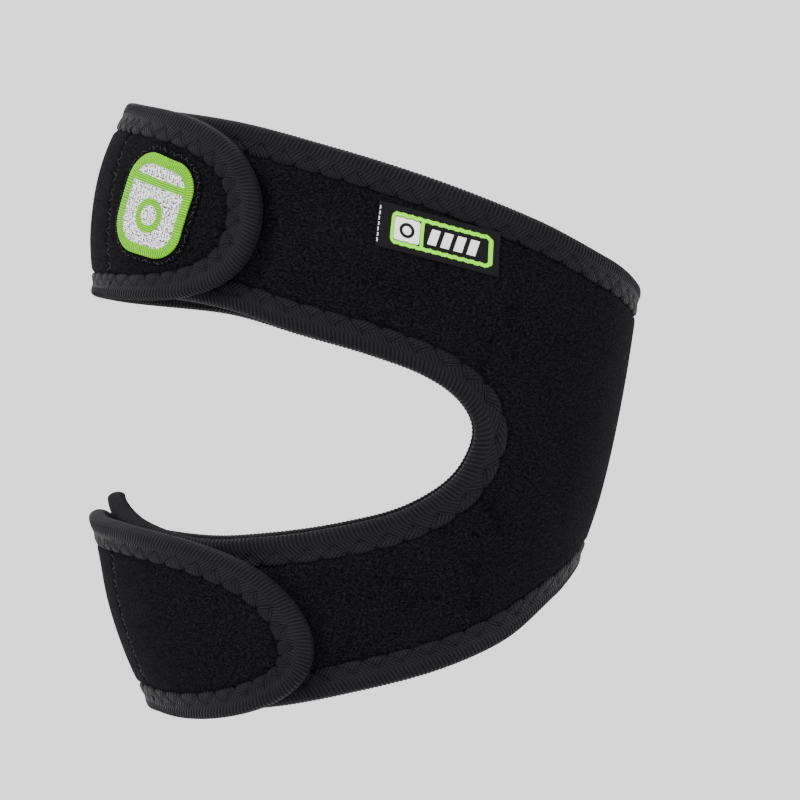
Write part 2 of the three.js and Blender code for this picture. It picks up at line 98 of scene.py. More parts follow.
def addStudio():
    world = bpy.data.worlds.new("paleStudio")
    world.use_nodes = True
    background = world.node_tree.nodes["Background"].inputs
    background["Color"].default_value = (1, 1, 1, 1)
    background["Strength"].default_value = studio["brightness"]
    bpy.context.scene.world = world
    for name, row in studio["lights"].items():
        addLight(name, *row)
    radius, thickness, down = metres(studio["floorRadius"], studio["floorThickness"], studio["floorDepth"])
    bpy.ops.mesh.primitive_cylinder_add(
        vertices=studio["floorSides"], radius=radius, depth=thickness, location=(0, 0, -down)
    )
    floor = bpy.context.object
    floor.name = "floor"
    paint = bpy.data.materials.new("paleFloor")
    paint.use_nodes = True
    shader = paint.node_tree.nodes["Principled BSDF"].inputs
    shader["Base Color"].default_value = studio["floorColour"]
    shader["Roughness"].default_value = studio["floorRoughness"]
    floor.data.materials.append(paint)


addCamera()
addStudio()
print("camera, lights and floor are set")

# The knee that the strap is shaped on

knee = {
    "depth": 124,
    "breadth": 104,
    "length": 160,
    "power": 2.2,
    # level as a share of length, front and back as shares of depth, half as a share of breadth
    "sections": [
        (-0.54, -0.29, 0.45, 0.48),
        (-0.43, -0.335, 0.43, 0.475),
        (-0.34, -0.39, 0.41, 0.47),
        (-0.26, -0.425, 0.413, 0.472),
        (-0.18, -0.445, 0.452, 0.477),
        (-0.1, -0.468, 0.487, 0.485),
        (0.05, -0.49, 0.531, 0.5),
        (0.22, -0.455, 0.566, 0.514),
        (0.32, -0.46, 0.583, 0.52),
        (0.42, -0.437, 0.602, 0.525),
        (0.53, -0.366, 0.621, 0.53),
    ],
}

cut = {
    "windowAbove": 33,
    "windowBelow": 27,
    "windowReach": 122,
    "upperWidth": 48.5,
    "lowerWidth": 43,
    "topFall": 43.5,
    "bottomRise": 36,
    # turn from the front, and share of topFall
    "topLine": [
        (-45, 0.07), (0, 0.01), (45, 0.07), (75, 0.223), (105, 0.42), (130, 0.63), (152, 0.84),
        (180, 1), (208, 0.84),
    ],
    # turn from the front, and share of bottomRise
    "bottomLine": [
        (-45, 0.01), (0, 0.1), (30, 0.02), (60, 0.02), (90, 0.14), (115, 0.288), (137, 0.487),
        (160, 0.79), (180, 1), (200, 0.79),
    ],
    # share of windowReach, and share of windowAbove or windowBelow
    "windowLine": [
        (-0.4, 1.04), (-0.2, 1.08), (0, 1.1), (0.2, 1.06), (0.4, 0.96), (0.57, 0.77), (0.74, 0.606),
        (0.875, 0.44), (0.965, 0.23), (1, -0.03), (0.96, -0.42), (0.855, -0.71), (0.71, -0.87),
        (0.54, -0.97), (0.375, -0.985), (0.2, -0.82), (0, -0.55), (-0.2, -0.55), (-0.4, -0.7),
    ],
    "squareShare": 0.5,  # share of windowReach where insets start to turn from upright to square
    "fanShare": 0.8,  # share of windowReach where the grid starts to fan out round the window's end
    "backShare": 0.35,  # share of what is left to the back, where the fan ends
}

closure = {
    "armEnd": 13,
    "seam": 20,
    "tabGap": 0.12,  # from the seam to the tab's own end
    "tabSquare": 0.3,  # share of the tab's rim over which insets turn from upright to square
    "upperReach": 41.2,
    "lowerReach": 59.6,
    "upperDrop": 0.8,
    "lowerDrop": 1,
    "upperWindowDrop": 2.4,
    "lowerWindowDrop": 6.4,
    "lowerDropLead": 24,
    "dropEnd": 70,  # the turn where the drops start, going to the front
    "dropRun": 50,
    "upperSlant": -2.6,
    "lowerSlant": -7,
    "upperCurl": 0,
    "lowerCurl": 0.5,
    "upperPower": 3.05,
    "lowerPower": 2.5,
    "ramp": 30,
    "rampLead": 7,
    "nearEndFall": 7,
    "nearEndLead": 2,
}

cloth = {
    "panel": 4,
    "pressed": 2.4,
    "hook": 0.7,
    "hookRoom": 0.5,
    "rimInset": 1.2,  # from the finished edge to the cloth's own edge
    "pressedInset": 7.3,
    "foamRise": 1.9,
}
cloth["tabLift"] = cloth["panel"] + cloth["hook"] + 2 * cloth["hookRoom"]
cloth["squeeze"] = (cloth["panel"] - cloth["pressed"]) / 2


def ease(share):
    share = np.clip(share, 0, 1)
    return share * share * (3 - 2 * share)


def unit(vectors):
    return vectors / np.linalg.norm(vectors, axis=-1, keepdims=True)


def dot(a, b):
    return (a * b).sum(-1)


# Distance along a line, at each of its points
def lengthAlong(points):
    return np.concatenate([[0], np.cumsum(np.linalg.norm(np.diff(points, axis=0), axis=-1))])


# Smooth curve through one column of a table
def readTable(rows, column, at):
    table = np.array(rows, float)
    xs, ys = table[:, 0], table[:, column]
    slopes = np.diff(ys) / np.diff(xs)
    tangents = np.concatenate([slopes[:1], (slopes[1:] + slopes[:-1]) / 2, slopes[-1:]])
    i = np.clip(np.searchsorted(xs, at) - 1, 0, len(xs) - 2)
    span = xs[i + 1] - xs[i]
    t = np.clip((at - xs[i]) / span, 0, 1)
    rise = ys[i + 1] - ys[i]
    start, end = tangents[i] * span, tangents[i + 1] * span
    return ys[i] + t * (start + t * (3 * rise - 2 * start - end + t * (start + end - 2 * rise)))


def kneePoint(turn, level):
    turn, level = np.broadcast_arrays(turn, level)
    share = level / knee["length"]
    front = knee["depth"] * readTable(knee["sections"], 1, share)
    back = knee["depth"] * readTable(knee["sections"], 2, share)
    half = knee["breadth"] * readTable(knee["sections"], 3, share)
    cos, sin = np.cos(np.radians(turn)), np.sin(np.radians(turn))
    power = knee["power"]
    reach = (np.abs(cos / ((back - front) / 2)) ** power + np.abs(sin / half) ** power) ** (-1 / power)
    return np.stack([(front + back) / 2 - reach * cos, -reach * sin, level * 1.0], -1)


# Directions at a place: round the knee per degree, up the leg per millimetre, and outwards
def kneeFrame(turn, level):
    step = 0.5
    around = (kneePoint(turn + step, level) - kneePoint(turn - step, level)) / (2 * step)
    upward = (kneePoint(turn, level + step) - kneePoint(turn, level - step)) / (2 * step)
    return around, upward, unit(np.cross(around, upward))


# side is 1 on the near half and -1 on the far half, which mirrors it
def liftedPoint(turn, level, height, side):
    outward = kneeFrame(turn, level)[2]
    points = kneePoint(turn, level) + outward * np.asarray(height)[..., None]
    points[..., 1] *= side
    return points


def movedPlace(turn, level, vector):
    around, upward, _ = kneeFrame(turn, level)
    aa, au, uu = dot(around, around), dot(around, upward), dot(upward, upward)
    a, u = dot(around, vector), dot(upward, vector)
    scale = aa * uu - au * au
    return turn + (a * uu - u * au) / scale, level + (u * aa - a * au) / scale


# An edge is a line of places with cloth on one side of it
class Edge:
    def __init__(self, hand, step, place, square):
        self.hand, self.step, self.place, self.square = hand, step, place, square

    def inset(self, s, distance):
        s, distance = np.broadcast_arrays(np.asarray(s, float), np.asarray(distance, float))
        turn, level = self.place(s)
        _, upward, outward = kneeFrame(turn, level)
        way = kneePoint(*self.place(s + self.step)) - kneePoint(*self.place(s - self.step))
        inward = unit(np.cross(outward, way)) * self.hand
        straight = unit(upward) * np.where(dot(inward, upward) < 0, -1, 1)[..., None]
        square = self.square(s)[..., None]
        taken = unit(straight * (1 - square) + inward * square)
        return movedPlace(turn, level, taken * (distance / dot(taken, inward))[..., None])


def frontShare(turn):
    return ease((closure["dropEnd"] - turn) / closure["dropRun"])


def outerEdge(hand, front, line, rise, drop):
    def place(turn):
        return turn, front + rise * readTable(cut[line], 1, turn) - drop * frontShare(turn)

    return Edge(hand, 0.5, place, np.zeros_like)


fanTurn = cut["windowReach"] * cut["fanShare"]
backTurn = cut["windowReach"] + cut["backShare"] * (180 - cut["windowReach"])


def windowEdge(upperDrop, lowerDrop, lowerEndFall):
    rows = np.array(cut["windowLine"], float)
    turns = rows[:, 0] * cut["windowReach"]
    levels = rows[:, 1] * np.where(rows[:, 1] > 0, cut["windowAbove"], cut["windowBelow"])
    last = len(rows) - 1

    # Smooth curve through evenly spaced values
    def through(values, i, t):
        a, b, c, d = (values[np.clip(i + step, 0, last)] for step in (-1, 0, 1, 2))
        start, end = (c - a) / 2, (d - b) / 2
        return (2 * b - 2 * c + start + end) * t**3 + (3 * c - 3 * b - 2 * start - end) * t**2 + start * t + b

    def place(s):
        at = s * last
        i = np.clip(np.floor(at).astype(int), 0, last)
        turn, level = through(turns, i, at - i), through(levels, i, at - i)
        seamShare = ease((closure["lowerDropLead"] - turn) / (closure["lowerDropLead"] + closure["seam"]))
        endShare = ease((closure["nearEndLead"] - turn) / (closure["nearEndLead"] + closure["armEnd"]))
        lowerFall = lowerDrop * seamShare + lowerEndFall * endShare
        return turn, level - np.where(level > 0, upperDrop * frontShare(turn), lowerFall)

    def square(s):
        start = cut["windowReach"] * cut["squareShare"]
        return ease((place(s)[0] - start) / (fanTurn - start))

    return Edge(1, 0.002, place, square)


windowTip = [row[0] for row in cut["windowLine"]].index(1) / (len(cut["windowLine"]) - 1)


# Where the window's edge passes a turn, above (from 0) or below (from 1) its rounded end
def windowAt(edge, turn, start):
    turn = np.asarray(turn, float)
    outer, inner = np.full(turn.shape, float(start)), np.full(turn.shape, windowTip)
    for _ in range(40):
        middle = (outer + inner) / 2
        before = edge.place(middle)[0] < turn
        outer, inner = np.where(before, middle, outer), np.where(before, inner, middle)
    return (outer + inner) / 2


# The levels between which the upper and the lower arm lie at a turn
def armLevels(half, turn):
    turn = np.asarray(turn, float)
    above, below = (half["window"].place(windowAt(half["window"], turn, start))[1] for start in (0, 1))
    return (half["top"].place(turn)[1], above), (below, half["bottom"].place(turn)[1])


def farLift(turn):
    start = closure["armEnd"] + closure["rampLead"] + closure["ramp"]
    return cloth["tabLift"] * ease((start - turn) / closure["ramp"])


def strapHalf(side, end, lift, upperDrop, lowerDrop, windowFalls):
    high, low = cut["windowAbove"] + cut["upperWidth"], -cut["windowBelow"] - cut["lowerWidth"]
    return {
        "side": side,
        "end": end,
        "lift": lift,
        "top": outerEdge(-1, high, "topLine", -cut["topFall"], upperDrop),
        "bottom": outerEdge(1, low, "bottomLine", cut["bottomRise"], lowerDrop),
        "window": windowEdge(*windowFalls),
    }


nearFalls = (0, 0, closure["nearEndFall"])
nearHalf = strapHalf(1, -closure["armEnd"], lambda turn: 0 * turn, 0, 0, nearFalls)
farFalls = (closure["upperWindowDrop"], closure["lowerWindowDrop"], 0)
farHalf = strapHalf(-1, -closure["seam"], farLift, closure["upperDrop"], closure["lowerDrop"], farFalls)


# A tab is the rounded piece that goes on from the end of a far arm
class Tab:
    def __init__(self, word, upper, lower):
        self.start = -closure["seam"] - closure["tabGap"]
        self.reach, self.slant = closure[word + "Reach"], closure[word + "Slant"]
        self.power, self.curl = closure[word + "Power"], closure[word + "Curl"]
        self.middleLevel, self.halfWidth = (upper + lower) / 2, (upper - lower) / 2
        self.edge = Edge(1, 0.01, self.place, self.square)

    def square(self, s):
        return ease((1 - np.abs(1 - s)) / closure["tabSquare"])

    def shareAt(self, s):
        return np.sin(s * math.pi / 2)

    def widthShare(self, share):
        return np.sqrt(np.maximum(0, 1 - np.maximum(0, share) ** self.power))

    def middle(self, share):
        level = self.middleLevel + self.slant * share * (1 + self.curl * (1 - share))
        return self.start - self.reach * share, level

    def place(self, s):
        turn, level = self.middle(self.shareAt(s))
        return turn, level + np.sign(1 - s) * self.halfWidth * self.widthShare(self.shareAt(s))


farArms = armLevels(farHalf, -closure["seam"])
bothTabs = {word: Tab(word, *levels) for word, levels in zip(("upper", "lower"), farArms)}
upperTab = bothTabs["upper"]

# Materials


# A socket that does arithmetic by adding Math nodes
class Wire:
    def __init__(self, finish, socket):
        self.finish, self.socket = finish, socket

    def math(self, operation, *others):
        return self.finish.node("ShaderNodeMath", {"operation": operation}, dict(enumerate((self, *others))))

    def __rsub__(self, other):
        return self * -1 + other

    # From 0 at low to 1 at high, smoothly
    def between(self, low, high):
        settings = {"interpolation_type": "SMOOTHSTEP"}
        return self.finish.node("ShaderNodeMapRange", settings, {0: self, 1: low, 2: high, 3: 0, 4: 1})

    # 1 below 0 and 0 above it, with a blurred edge
    def inside(self, blur):
        return 1 - self.between(-blur, blur)

    # Goes from 0 to 1 and back once in each pitch
    def wave(self, pitch, operation="SINE"):
        return (self * (2 * math.pi / pitch)).math(operation) * 0.5 + 0.5


def addOperation(name, operation):
    setattr(Wire, name, lambda self, *others: self.math(operation, *others))


for name, operation in {
    "__add__": "ADD", "__radd__": "ADD", "__mul__": "MULTIPLY", "__rmul__": "MULTIPLY",
    "__sub__": "SUBTRACT", "__truediv__": "DIVIDE", "__pow__": "POWER",
    "sine": "SINE", "cosine": "COSINE", "size": "ABSOLUTE", "least": "MINIMUM", "most": "MAXIMUM",
}.items():
    addOperation(name, operation)


# A material that is built node by node
class Finish:
    def __init__(self, name):
        self.material = bpy.data.materials.new(name)
        self.material.use_nodes = True
        self.tree = self.material.node_tree
        self.shader = self.tree.nodes["Principled BSDF"]

    def node(self, kind, settings, values, output=0):
        made = self.tree.nodes.new(kind)
        for name, setting in settings.items():
            setattr(made, name, setting)
        self.fill(made, values)
        return Wire(self, made.outputs[output])

    def fill(self, made, values):
        for name, value in values.items():
            if isinstance(value, Wire):
                self.tree.links.new(value.socket, made.inputs[name])
            else:
                made.inputs[name].default_value = value

    def set(self, **values):
        self.fill(self.shader, {name.replace("_", " "): value for name, value in values.items()})

    def here(self):
        return self.node("ShaderNodeTexCoord", {}, {}, "Object")

    # The two numbers of a UV map
    def onCloth(self, name="cloth"):
        u = self.node("ShaderNodeSeparateXYZ", {}, {0: self.node("ShaderNodeUVMap", {"uv_map": name}, {})})
        return u, Wire(self, u.socket.node.outputs[1])

    def joined(self, x, y):
        return self.node("ShaderNodeCombineXYZ", {}, {0: x, 1: y, 2: 0.0})

    def noise(self, vector, scale, detail=2.0, roughness=0.5, distortion=0.0):
        values = {"Vector": vector, "Scale": scale, "Detail": detail}
        values.update({"Roughness": roughness, "Distortion": distortion})
        return self.node("ShaderNodeTexNoise", {"noise_dimensions": "3D"}, values)

    def mix(self, share, low, high):
        return self.node("ShaderNodeMix", {"data_type": "RGBA"}, {0: share, 6: low, 7: high}, 2)

    # distance is the relief's depth in metres
    def withRelief(self, height, distance):
        values = {"Strength": 1.0, "Distance": distance, "Height": height}
        self.set(Normal=self.node("ShaderNodeBump", {}, values))
        return self.material


# Black with a little violet in it, the dye's own hue; its lighter values also give the painted highlights on
# crests
def violetBlack(value):
    return (value * 1.12, value, value * 1.35, 1)


# Dark colour, and the lighter colour painted on the curls' tops as a painted highlight, length and width of a
# curl, and depth of the relief in metres
piles = {
    "blackLoopPile": (0.0015, 0.0086, 0.95, 0.42, 0.00048),
    "tabLoopPile": (0.0014, 0.008, 0.85, 0.42, 0.00048),
    "brushedBacking": (0.0006, 0.0065, 0.8, 0.35, 0.0005),
    "foamEdge": (0.001, 0.006, 0.5, 0.5, 0.0003),
    "hookTape": (0.0008, 0.012, 0.5, 0.5, 0.0006),
}


# Loop pile: short curls that lie mostly along the strap, over a finer fuzz
def loopPile(name):
    dark, light, curlLength, curlWidth, depth = piles[name]
    finish = Finish(name)
    here = finish.here()
    u, v = finish.onCloth()
    sway = finish.noise(finish.joined(u * 0.16, v * 0.16), 1.0, 2.0)
    drift = finish.noise(finish.joined(u * 0.21 + 40.0, v * 0.21), 1.0, 1.0)
    along = (u + (drift - 0.5) * 3.0) * (1 / curlLength)
    across = (v + (sway - 0.5) * 5.0) * (1 / curlWidth)
    curls = finish.noise(finish.joined(along, across), 1.0, 2.0, 0.55, 0.7)
    knots = finish.noise(finish.joined(along * 1.7, across * 0.8 + 17.0), 1.0, 1.0, 0.5, 0.4)
    fuzz = finish.noise(here, 3600.0, 2.0, 0.6)
    nap = finish.noise(here, 70.0, 2.0)
    height = curls * 0.7 + knots * 0.45 + fuzz * 0.22
    # The curls' tops are painted lighter than the hollows between them: painted highlight and painted shade,
    # with a little random tone from the nap
    tipHighlight = (height + nap * 0.1).between(0.6, 0.93)
    finish.set(
        Base_Color=finish.mix(tipHighlight, violetBlack(dark), violetBlack(light)),
        Roughness=0.95 - fuzz * 0.15,
        Sheen_Weight=0.004,
        Sheen_Roughness=0.5,
        Specular_IOR_Level=0.02,
    )
    return finish.withRelief(height, depth)


knit = {"column": 0.9, "course": 0.75, "dark": 0.0012, "light": 0.005}


# Smooth jersey lining in columns of small stitches
def jersey():
    finish = Finish("jerseyLining")
    u, v = finish.onCloth()
    column = (u * (math.pi / knit["column"])).sine().size()
    bow = (u * (2 * math.pi / knit["column"])).cosine() * 1.3
    course = (v * (2 * math.pi / knit["course"]) + bow).sine()
    height = column * 0.7 + course * 0.3
    worn = finish.noise(finish.here(), 90.0, 3.0)
    # The colour follows the knit's relief: painted shade between the stitch columns and courses, painted
    # highlight on their crests; worn adds random tone
    toneAndShade = (height * 0.6 + worn * 0.5).between(0.2, 1.0)
    finish.set(
        Base_Color=finish.mix(toneAndShade, violetBlack(knit["dark"]), violetBlack(knit["light"])),
        Roughness=0.85 - column * 0.15,
        Sheen_Weight=0.03,
        Specular_IOR_Level=0.12,
    )
    return finish.withRelief(height, 0.00022)


# Elastic tape: ribs round the fold, and a finer slanting twill on the flat
def ribbedTape():
    finish = Finish("ribbedElasticTape")
    u, v = finish.onCloth()
    pitch = tape["stitchPitch"] / 2
    fed = u
    for size, length in tape["wander"]:
        fed = fed + (u * (1 / length)).sine() * size
    slope = (tape["stitchFar"] - tape["stitchNear"]) / pitch
    line = tape["stitchFar"] - fed.math("PINGPONG", pitch) * slope
    lobes = (v - line).between(-0.5, 0.5)
    flat = v.between(tape["foldEnd"], tape["foldEnd"] + tape["foldFade"])
    wobble = finish.noise(finish.here(), 160.0, 1.0) * 0.5
    # Darker along the pressed groove of the stitch line: painted shade
    grooveShade = 1 - (v - line).size().between(0.1, 0.8)
    rib = (u + v * tape["foldLean"]).wave(tape["ribPitch"], "COSINE")
    twill = (u + v * tape["lean"] + wobble).wave(tape["ribPitch"], "COSINE")
    counter = (u - v * tape["lean"] + wobble).wave(tape["ribPitch"], "COSINE")
    yarns = (v * (2 * math.pi / tape["yarnPitch"]) + rib * 2.5).sine() * 0.5 + 0.5
    fuzz = finish.noise(finish.here(), 4200.0, 2.0, 0.6)
    patches = finish.noise(finish.here(), 110.0, 2.0)
    fine = twill * (1 - lobes) + counter * lobes
    height = rib * (1 - flat) * 0.6 + fine * flat * 0.62 + yarns * 0.12 + fuzz * 0.25
    # The colour follows the relief height: painted shade in the valleys of the ribs and the twill, painted
    # highlight on their crests; patches and fuzz add random tone
    toneAndShade = height * 0.8 + flat * 0.03 + patches * 0.3 + fuzz * 0.15 - lobes * 0.05 - grooveShade * 0.24
    finish.set(
        Base_Color=finish.mix(toneAndShade.between(0.08, 1.0), violetBlack(tape["dark"]), violetBlack(tape["light"])),
        Roughness=0.72 - rib * 0.22,
        Sheen_Weight=0.02,
        Sheen_Roughness=0.4,
        Specular_IOR_Level=0.09,
    )
    return finish.withRelief(height, 0.00026)


# Twisted thread: u runs along it
def thread(name, dark, light, rough):
    finish = Finish(name)
    u, v = finish.onCloth()
    twist = (u / 0.32 + v).wave(1)
    finish.set(
        # The colour follows the twist: painted shade between the plies, painted highlight on them
        Base_Color=finish.mix(twist, dark, light),
        Roughness=rough - twist * 0.15,
        Sheen_Weight=0.03,
        Specular_IOR_Level=0.2,
    )
    return finish.withRelief(twist, 0.00004)


# Meshes


# Faces between the rows and the columns of a grid of vertex numbers
def gridFaces(number):
    return np.stack([number[:-1, :-1], number[1:, :-1], number[1:, 1:], number[:-1, 1:]], -1).reshape(-1, 4)


# The same for a tube, where each row is a ring
def tubeFaces(number):
    beside = np.roll(number, -1, axis=1)
    return np.stack([number[:-1], beside[:-1], beside[1:], number[1:]], -1).reshape(-1, 4)


# Cloth made of grids, which are joined where their places meet
class Sheet:
    def __init__(self):
        self.places, self.faces, self.count = [], [], 0

    def grid(self, turn, level, squeeze, side):
        places = np.array(np.broadcast_arrays(turn, level, squeeze, side), float)
        quads = gridFaces(self.count + np.arange(places[0].size).reshape(places[0].shape))
        self.faces.append(quads[:, ::-1] if side < 0 else quads)
        self.places.append(places.reshape(4, -1))
        self.count += places[0].size

    # heights gives the inner and the outer height over the knee
    def build(self, name, heights, materials):
        places = np.hstack(self.places)
        turn, level, _, side = places
        sideKey = np.where(np.abs(turn - 180) < 1e-6, 0, side)
        keys = np.round(np.stack([turn, level, sideKey], -1), 4)
        _, first, number = np.unique(keys, axis=0, return_index=True, return_inverse=True)
        turn, level, squeeze, side = places[:, first]
        faces = number.reshape(-1)[np.concatenate(self.faces)]
        inner, outer = (
            liftedPoint(turn, level, height, side) for height in heights(turn, level, squeeze, side)
        )
        # The two halves run on into each other at the back
        cover = np.stack([np.where(side < 0, 360 - turn, turn) * perDegree, level], -1)
        return shell(name, outer, inner, faces, cover, materials)


# An outer face, an inner face, and walls where they end, with a material for each of the three or one for all
def shell(name, outer, inner, faces, cover, materials):
    ways = np.concatenate([faces[:, [i, (i + 1) % 4]] for i in range(4)])
    back = set(map(tuple, ways[:, ::-1].tolist()))
    rim = np.array([way for way in ways.tolist() if tuple(way) not in back])
    total = len(outer)
    walls = np.stack([rim[:, 1], rim[:, 0], rim[:, 0] + total, rim[:, 1] + total], -1)
    allFaces = np.concatenate([faces, faces[:, ::-1] + total, walls])
    slots = np.repeat([0, 1, 2], [len(faces), len(faces), len(walls)]) % len(materials)
    points = np.concatenate([outer, inner])
    return makePiece(name, points, allFaces, np.concatenate([cover, cover]), materials, slots)


# Points in millimetres, faces as rows of four vertex numbers, cover as one (u, v) for each point
def makePiece(name, points, faces, cover, materials, slots=0):
    corners = points[faces] - points.mean(0)
    volume = sum(dot(corners[:, 0], np.cross(corners[:, i], corners[:, i + 1])).sum() for i in (1, 2))
    if volume < 0:
        faces = faces[:, ::-1]
    # A quad that names a corner twice is a triangle
    rings = [list(dict.fromkeys(face)) for face in faces.tolist()]
    mesh = bpy.data.meshes.new(name)
    mesh.from_pydata((points * millimetre).tolist(), [], rings)
    for material in materials:
        mesh.materials.append(material)
    mesh.polygons.foreach_set("material_index", np.broadcast_to(slots, len(faces)).astype(np.int32))
    mesh.polygons.foreach_set("use_smooth", np.ones(len(faces), bool))
    addCover(mesh, "cloth", cover)
    mesh.update()
    piece = bpy.data.objects.new(name, mesh)
    bpy.context.scene.collection.objects.link(piece)
    return piece


def addCover(mesh, name, cover):
    corners = np.zeros(len(mesh.loops), np.int32)
    mesh.loops.foreach_get("vertex_index", corners)
    mesh.uv_layers.new(name=name).data.foreach_set("uv", cover[corners].ravel().astype(np.float32))


def dress(piece, slot, *nodes):
    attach(piece, "root")
    if nodes:
        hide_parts(*nodes)
    return piece


# The main panel

panel = {
    "armColumns": 84,
    "fanColumns": 18,
    "backColumns": 34,
    "backRows": 22,
    "middleRows": 12,
    "rimInsets": (cloth["rimInset"], 3, 5, 7, 7.7, 8.2, 8.7, 9.2, 9.7, 10.3, 11, 12),
    "seamDip": 0.3,  # how far the cloth is drawn in where a tab is sewn on
    "seamReach": 0.9,
    "liningDip": 0.3,  # share of that on the inner side
    "flat": (0.152, 0.44),  # metres, opened out, across and along
    "flatArea": 0.0367,  # less the window and what the curved edges leave
}


def squeezeAt(inset):
    return cloth["squeeze"] * (1 - ease((inset - cloth["pressedInset"]) / cloth["foamRise"]))


def seamDip(turn, side):
    gap = np.abs(turn + closure["seam"]) * perDegree
    return panel["seamDip"] * np.exp(-((gap / panel["seamReach"]) ** 2)) * (side < 0)


# Bands along the edges, a fan round the window's end, and a block at the back.
# Each array holds the turns and the levels of a grid.
def halfGrids(sheet, half):
    insets = np.array(panel["rimInsets"])
    squeezes = squeezeAt(insets)
    armTurns = np.linspace(half["end"], fanTurn, panel["armColumns"] + 1)
    fanTurns = np.linspace(fanTurn, backTurn, panel["fanColumns"] + 1)
    backTurns = np.linspace(backTurn, 180, panel["backColumns"] + 1)
    turns = np.concatenate([armTurns, fanTurns[1:], backTurns[1:]])
    top = np.array(half["top"].inset(turns[:, None], insets[None]))
    low = np.array(half["bottom"].inset(turns[:, None], insets[None]))
    fanEnd = panel["armColumns"] + panel["fanColumns"]
    shares = np.linspace(0, 1, panel["backRows"] + 1)
    block = top[:, fanEnd:, -1:] * (1 - shares) + low[:, fanEnd:, -1:] * shares
    outer = np.concatenate([top[:, : fanEnd + 1, -1], block[:, 0, 1:-1], low[:, fanEnd::-1, -1]], 1)
    upperArm = windowAt(half["window"], armTurns, 0)
    lowerArm = windowAt(half["window"], armTurns, 1)[::-1]
    fan = np.linspace(upperArm[-1], lowerArm[0], 2 * panel["fanColumns"] + panel["backRows"] + 1)
    window = np.concatenate([upperArm, fan[1:-1], lowerArm])
    ring = np.array(half["window"].inset(window[:, None], insets[None]))
    between = np.linspace(0, 1, panel["middleRows"] + 2)[1:]
    ring = np.concatenate([ring, ring[:, :, -1:] * (1 - between) + outer[:, :, None] * between], 2)
    ringSqueezes = np.concatenate([squeezes, np.zeros(len(between))])
    sheet.grid(*top, squeezes, half["side"])
    sheet.grid(*low[:, :, ::-1], squeezes[::-1], half["side"])
    sheet.grid(*ring[:, :, ::-1], ringSqueezes[::-1], half["side"])
    sheet.grid(*block, 0, half["side"])


def clothHeights(turn, level, squeeze, side):
    lift = np.where(side < 0, farLift(turn), 0)
    dip = seamDip(turn, side)
    return lift + squeeze + panel["liningDip"] * dip, lift + cloth["panel"] - squeeze - dip


def buildPanel():
    sheet = Sheet()
    halfGrids(sheet, nearHalf)
    halfGrids(sheet, farHalf)
    piece = sheet.build("mainPanelCloth", clothHeights, [pile, lining, rawEdge])
    dress(piece, "loop_cloth", "main_panel")


# The two tabs

tabs = {
    "columns": 72,
    "rows": 14,
    "rowPower": 1.3,
    "rimInsets": (cloth["rimInset"], 3.5, 6, 7.7, 8.2, 8.7, 9.2, 9.8),
    "spineEnd": 0.7,  # share of the reach where the grid's middle line ends
    "upperFlat": (0.048, 0.0498),  # metres, at the seam and away from it
    "upperArea": 0.00187,
    "lowerFlat": (0.0487, 0.0614),
    "lowerArea": 0.00226,
}


# Grid from the tab's rim to its middle line, for s along the rim
def tabGrid(tab, s):
    insets = np.array(tabs["rimInsets"])
    rim = np.array(tab.edge.inset(s[:, None], insets[None]))
    spine = np.array(tab.middle(tab.shareAt(s) * tabs["spineEnd"]))
    length = np.linalg.norm(kneePoint(*rim[:, :, -1]) - kneePoint(*spine), axis=-1)
    shares = np.linspace(0, 1, tabs["rows"] + 1)[1:] ** tabs["rowPower"]
    places = np.concatenate([rim, rim[:, :, -1:] * (1 - shares) + spine[:, :, None] * shares], 2)
    allInsets = np.hstack([np.tile(insets, (len(s), 1)), insets[-1] + length[:, None] * shares])
    return np.array([*places, squeezeAt(allInsets)])


def buildTab(word, tab):
    sheet = Sheet()
    sheet.grid(*tabGrid(tab, np.linspace(0, 1, tabs["columns"] + 1)), -1)
    sheet.grid(*tabGrid(tab, np.linspace(2, 1, tabs["columns"] + 1))[:, :, ::-1], -1)
    piece = sheet.build(word + "TabCloth", clothHeights, [tabFace, lining, rawEdge])
    dress(piece, "loop_cloth", word + "_tab")


# Elastic tape folded over an edge

tape = {
    "ribPitch": 1.08,
    "stepsPerRib": 5,
    "ribHeight": 0.09,
    "foldEnd": 2.3,  # where the ribs of the fold start to fade
    "foldFade": 1.8,
    "foldLean": 0.28,
    "width": 7.1,
    "scallop": 0.75,  # how far the lobes between the stitches reach over that
    "stitchPitch": 6.6,
    "stitchNear": 4.6,
    "stitchFar": 7.1,
    "wander": [(0.4, 7.3), (0.25, 3.1)],  # size and length of the feed's slow swings
    "pull": 0.34,
    "pullWidth": 0.5,
    "lean": 0.9,
    "yarnPitch": 0.36,
    "proud": 2.0,
    "roll": 0.38,
    "lobe": 0.14,
    "endDrop": 0.4,
    "endReach": 0.5,
    "nose": 1.4,
    "faceSteps": 17,
    "noseAngles": (68, 45, 22, 0, -22, -45, -68),
    "backSteps": 6,
    "backDepth": 2.1,
    "backCrown": 0.15,
    "backRibs": 0.7,  # share of the ribs' height
    "grip": 0.08,  # room between the tape and the pressed cloth
    "gripInsets": (2.0, 0.9, 2.0),
    "dark": 0.0006,
    "light": 0.0082,
}
tape["wall"] = tape["faceSteps"] + len(tape["noseAngles"]) + tape["backSteps"]

# Half, edge, places along the edge and lengths along the tape, for each stretch of tape
stitchRuns = []


# The machine's feed isn't quite even
def wander(u):
    fed = u
    for size, length in tape["wander"]:
        fed = fed + size * np.sin(u / length)
    return fed


def stitchLine(u):
    phase = np.abs((wander(u) / tape["stitchPitch"]) % 1 * 2 - 1)
    return tape["stitchNear"] + (tape["stitchFar"] - tape["stitchNear"]) * phase


def tapeEdge(u):
    lobes = np.sqrt(np.abs(np.sin(math.pi * wander(u) / tape["stitchPitch"])))
    return tape["width"] + tape["scallop"] * lobes


